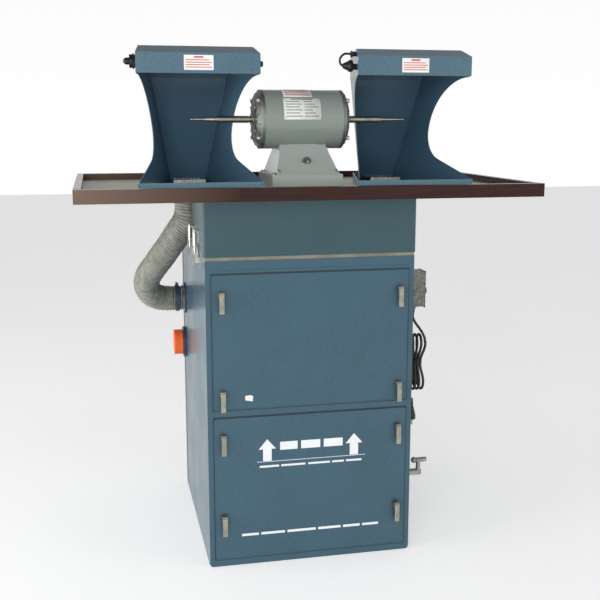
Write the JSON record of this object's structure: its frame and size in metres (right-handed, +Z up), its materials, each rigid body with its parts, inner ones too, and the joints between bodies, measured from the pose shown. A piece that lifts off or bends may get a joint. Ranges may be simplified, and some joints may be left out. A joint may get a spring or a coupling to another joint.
{
  "type": "polishing lathe with dust collector",
  "caption": "Two-spindle bench polishing lathe with hoods on a tray-topped cabinet that holds the dust collector, with flexible ducts and a power cord.",
  "frame": {"origin": "on the floor, under the centre of the table", "axes": "+X to the right seen from the front, -Y out of the front, +Z up"},
  "size_m": [1.219, 0.762, 1.402],
  "materials": {
    "cabinet_enamel": "blue-grey hammertone enamel",
    "pedestal_enamel": "blue-grey hammertone enamel",
    "gasket": "beige closed-cell foam",
    "latch_nickel": "nickel plated",
    "inner_steel": "plain sheet",
    "filter_cloth": "woven filter cloth",
    "shaker_metal": "cast, dull",
    "dark_enamel": "dark grey enamel",
    "zinc": "bright zinc",
    "laminate": "beige laminate",
    "brown_rim": "dark brown gloss",
    "hood_enamel": "dark blue-grey hammertone enamel",
    "canopy_enamel": "blue-grey hammertone enamel",
    "lamp_glass": "opal lamp tube",
    "black_plastic": "moulded",
    "motor_enamel": "light grey enamel",
    "bell_aluminium": "rough casting",
    "winding": "lacquered copper wire",
    "rotor_steel": "ground steel",
    "hose_grey": "ribbed duct hose",
    "port_enamel": "dark blue enamel",
    "orange_plastic": "moulded cap",
    "galvanised": "spangled zinc",
    "cord_rubber": "rubber jacket"
  },
  "bodies": {
    "stand": {"cabinet_shell": "cabinet_enamel", "front_frame": "cabinet_enamel", "upper_door": "cabinet_enamel", "lower_door": "cabinet_enamel", "seals": "gasket", "latch_hardware": "latch_nickel", "filter_shelf": "inner_steel", "filter_bags": "filter_cloth", "bearings": "shaker_metal", "blower_scroll": "dark_enamel", "blower_motor": "dark_enamel", "exhaust_grille": "dark_enamel", "pedestal_shell": "pedestal_enamel", "draw_hardware": "zinc", "table_panel": "laminate", "table_rim": "brown_rim", "hood_bases": "hood_enamel", "hood_shell_left": "hood_enamel", "hood_shell_right": "hood_enamel", "hood_canopy_left": "canopy_enamel", "hood_canopy_right": "canopy_enamel", "hood_screens": "zinc", "lamps": "lamp_glass", "lamp_glands": "black_plastic", "motor_shell": "motor_enamel", "end_bells": "bell_aluminium", "stator": "winding", "motor_base": "motor_enamel", "hose_left": "hose_grey", "hose_right": "hose_grey", "duct_ports": "port_enamel", "junction_box": "galvanised", "power_cord": "cord_rubber", "cord_hank": "cord_rubber", "cord_plug": "black_plastic"},
    "latch_1_body": {"latch_1": "latch_nickel"},
    "latch_2_body": {"latch_2": "latch_nickel"},
    "latch_3_body": {"latch_3": "latch_nickel"},
    "latch_4_body": {"latch_4": "latch_nickel"},
    "latch_5_body": {"latch_5": "latch_nickel"},
    "latch_6_body": {"latch_6": "latch_nickel"},
    "latch_7_body": {"latch_7": "latch_nickel"},
    "latch_8_body": {"latch_8": "latch_nickel"},
    "shaker": {"shaker_handle": "shaker_metal"},
    "fan": {"blower_wheel": "inner_steel"},
    "draw_lever_1_body": {"draw_lever_1": "zinc"},
    "draw_lever_2_body": {"draw_lever_2": "zinc"},
    "draw_lever_3_body": {"draw_lever_3": "zinc"},
    "draw_lever_4_body": {"draw_lever_4": "zinc"},
    "draw_bail_1_body": {"draw_bail_1": "zinc"},
    "draw_bail_2_body": {"draw_bail_2": "zinc"},
    "draw_bail_3_body": {"draw_bail_3": "zinc"},
    "draw_bail_4_body": {"draw_bail_4": "zinc"},
    "rotor_body": {"rotor": "rotor_steel", "spindle_left": "rotor_steel", "spindle_right": "rotor_steel"},
    "toggle": {"motor_switch": "rotor_steel"},
    "cap": {"orange_cap": "orange_plastic"},
    "box_knob": {"box_switch": "black_plastic"}
  },
  "joints": [
    {"name": "latch_1_turn", "type": "hinge", "parent": "stand", "child": "latch_1_body", "pos_m": [-0.245, -0.28, 0.764], "axis": [0, 1, 0], "range_deg": [0, 90]},
    {"name": "latch_2_turn", "type": "hinge", "parent": "stand", "child": "latch_2_body", "pos_m": [0.245, -0.28, 0.764], "axis": [0, 1, 0], "range_deg": [-90, 0]},
    {"name": "latch_3_turn", "type": "hinge", "parent": "stand", "child": "latch_3_body", "pos_m": [-0.245, -0.28, 0.496], "axis": [0, 1, 0], "range_deg": [0, 90]},
    {"name": "latch_4_turn", "type": "hinge", "parent": "stand", "child": "latch_4_body", "pos_m": [0.245, -0.28, 0.496], "axis": [0, 1, 0], "range_deg": [-90, 0]},
    {"name": "latch_5_turn", "type": "hinge", "parent": "stand", "child": "latch_5_body", "pos_m": [-0.245, -0.28, 0.374], "axis": [0, 1, 0], "range_deg": [0, 90]},
    {"name": "latch_6_turn", "type": "hinge", "parent": "stand", "child": "latch_6_body", "pos_m": [0.245, -0.28, 0.374], "axis": [0, 1, 0], "range_deg": [-90, 0]},
    {"name": "latch_7_turn", "type": "hinge", "parent": "stand", "child": "latch_7_body", "pos_m": [-0.245, -0.28, 0.143], "axis": [0, 1, 0], "range_deg": [0, 90]},
    {"name": "latch_8_turn", "type": "hinge", "parent": "stand", "child": "latch_8_body", "pos_m": [0.245, -0.28, 0.143], "axis": [0, 1, 0], "range_deg": [-90, 0]},
    {"name": "draw_lever_1_turn", "type": "hinge", "parent": "stand", "child": "draw_lever_1_body", "pos_m": [-0.299, -0.171, 0.874], "axis": [0, 1, 0], "range_deg": [0, 105]},
    {"name": "draw_bail_1_turn", "type": "hinge", "parent": "draw_lever_1_body", "child": "draw_bail_1_body", "pos_m": [-0.301, -0.171, 0.866], "axis": [0, 1, 0], "range_deg": [-105, 0]},
    {"name": "draw_lever_2_turn", "type": "hinge", "parent": "stand", "child": "draw_lever_2_body", "pos_m": [-0.299, -0.041, 0.874], "axis": [0, 1, 0], "range_deg": [0, 105]},
    {"name": "draw_bail_2_turn", "type": "hinge", "parent": "draw_lever_2_body", "child": "draw_bail_2_body", "pos_m": [-0.301, -0.041, 0.866], "axis": [0, 1, 0], "range_deg": [-105, 0]},
    {"name": "draw_lever_3_turn", "type": "hinge", "parent": "stand", "child": "draw_lever_3_body", "pos_m": [0.299, -0.171, 0.874], "axis": [0, -1, 0], "range_deg": [0, 105]},
    {"name": "draw_bail_3_turn", "type": "hinge", "parent": "draw_lever_3_body", "child": "draw_bail_3_body", "pos_m": [0.301, -0.171, 0.866], "axis": [0, -1, 0], "range_deg": [-105, 0]},
    {"name": "draw_lever_4_turn", "type": "hinge", "parent": "stand", "child": "draw_lever_4_body", "pos_m": [0.299, -0.041, 0.874], "axis": [0, -1, 0], "range_deg": [0, 105]},
    {"name": "draw_bail_4_turn", "type": "hinge", "parent": "draw_lever_4_body", "child": "draw_bail_4_body", "pos_m": [0.301, -0.041, 0.866], "axis": [0, -1, 0], "range_deg": [-105, 0]},
    {"name": "shaker_turn", "type": "hinge", "parent": "stand", "child": "shaker", "pos_m": [0.29, -0.206, 0.202], "axis": [1, 0, 0], "range_deg": [-18, 18]},
    {"name": "fan_spin", "type": "hinge", "parent": "stand", "child": "fan", "pos_m": [0, 0.24, 0.19], "axis": [0, 1, 0], "continuous": true},
    {"name": "spindle_spin", "type": "hinge", "parent": "stand", "child": "rotor_body", "pos_m": [0, -0.121, 1.217], "axis": [1, 0, 0], "continuous": true},
    {"name": "toggle_flip", "type": "hinge", "parent": "stand", "child": "toggle", "pos_m": [0.002, -0.201, 1.106], "axis": [1, 0, 0], "range_deg": [-14, 14]},
    {"name": "box_knob_turn", "type": "hinge", "parent": "stand", "child": "box_knob", "pos_m": [0.336, -0.209, 0.742], "axis": [1, 0, 0], "range_deg": [0, 90]},
    {"name": "cap_pull", "type": "slide", "parent": "stand", "child": "cap", "axis": [-1, 0, 0], "range_m": [0, 0.06]}
  ],
  "couplings": [
    {"joint": "draw_bail_1_turn", "follows": "draw_lever_1_turn", "ratio": -1},
    {"joint": "draw_bail_2_turn", "follows": "draw_lever_2_turn", "ratio": -1},
    {"joint": "draw_bail_3_turn", "follows": "draw_lever_3_turn", "ratio": -1},
    {"joint": "draw_bail_4_turn", "follows": "draw_lever_4_turn", "ratio": -1}
  ]
}
